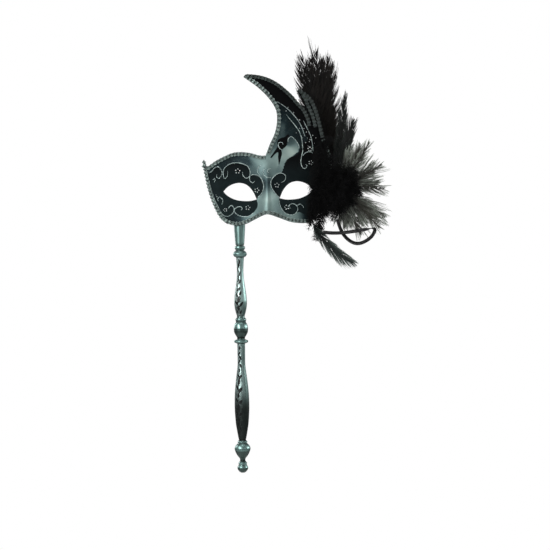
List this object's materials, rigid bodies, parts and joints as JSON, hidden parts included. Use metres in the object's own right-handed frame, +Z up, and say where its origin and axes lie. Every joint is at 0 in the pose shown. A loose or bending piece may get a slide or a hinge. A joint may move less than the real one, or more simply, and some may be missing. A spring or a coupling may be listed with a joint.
{
  "type": "venetian masquerade mask",
  "caption": "Asymmetric half mask with a crescent crest, on a turned hand-held handle, with a feather spray and ribbon loop at one temple.",
  "frame": {"origin": "on the handle's axis at the middle of the lower grip, where a hand holds it", "axes": "+Z up along the handle towards the mask, the face looks along -Y, +X to the viewer's right"},
  "size_m": [0.2309, 0.0734, 0.5397],
  "materials": {
    "painted_shell": "moulded shell sprayed silver teal, with black flocked fields, raised glitter scrolls and a satin varnish",
    "lining_felt": "thin black felt",
    "painted_handle": "turned stick in metallic silver-teal lacquer with black leaf sprays down its front",
    "hot_glue": "clear amber craft glue",
    "gimp_braid": "metallic silver and black braid in a looped zigzag",
    "plume_feather": "dense black hackle barbs",
    "spray_feather": "black feather with thin brown and grey-green barb ends",
    "sheen_feather": "slender black feather with a green sheen",
    "marabou": "soft black down",
    "satin_ribbon": "narrow black satin, grey where it catches the light"
  },
  "bodies": {
    "root": {"mask_shell": "painted_shell", "felt_lining": "lining_felt", "handle": "painted_handle", "handle_glue": "hot_glue", "feather_glue": "hot_glue", "feather_disc": "lining_felt", "plume_glue": "hot_glue", "rosette": "marabou", "ribbon_loop": "satin_ribbon", "brow_braid": "gimp_braid", "crest_inner_braid": "gimp_braid", "crest_outer_braid": "gimp_braid", "horn_inner_braid": "gimp_braid", "horn_outer_braid": "gimp_braid", "right_braid": "gimp_braid", "bottom_braid": "gimp_braid", "left_braid": "gimp_braid", "fan_feather_1": "spray_feather", "fan_feather_2": "spray_feather", "fan_feather_3": "spray_feather", "fan_feather_4": "spray_feather", "fan_feather_5": "spray_feather", "fan_feather_6": "spray_feather", "fan_feather_7": "spray_feather", "fan_feather_8": "spray_feather", "temple_tuft_1": "marabou", "temple_tuft_2": "marabou", "temple_tuft_3": "marabou"},
    "plume": {"plume_left": "plume_feather", "plume_middle": "plume_feather", "plume_right": "plume_feather"},
    "side_feathers": {"side_feather_long": "spray_feather", "side_feather_short": "spray_feather"},
    "hanging": {"hanging_feather": "sheen_feather"}
  },
  "joints": [
    {"name": "plume_sway", "type": "hinge", "parent": "root", "child": "plume", "pos_m": [0.10533, 0.02209, 0.266], "axis": [-0.4226, 0.9063, 0], "range_deg": [-6, 6], "stiffness_Nm_per_rad": 0.12},
    {"name": "side_feather_sway", "type": "hinge", "parent": "root", "child": "side_feathers", "pos_m": [0.12512, 0.01752, 0.272], "axis": [-0.4226, 0.9063, 0], "range_deg": [-8, 8], "stiffness_Nm_per_rad": 0.05},
    {"name": "hanging_feather_sway", "type": "hinge", "parent": "root", "child": "hanging", "pos_m": [0.09198, -0.01079, 0.221], "axis": [-0.4226, 0.9063, 0], "range_deg": [-12, 12], "stiffness_Nm_per_rad": 0.02}
  ]
}
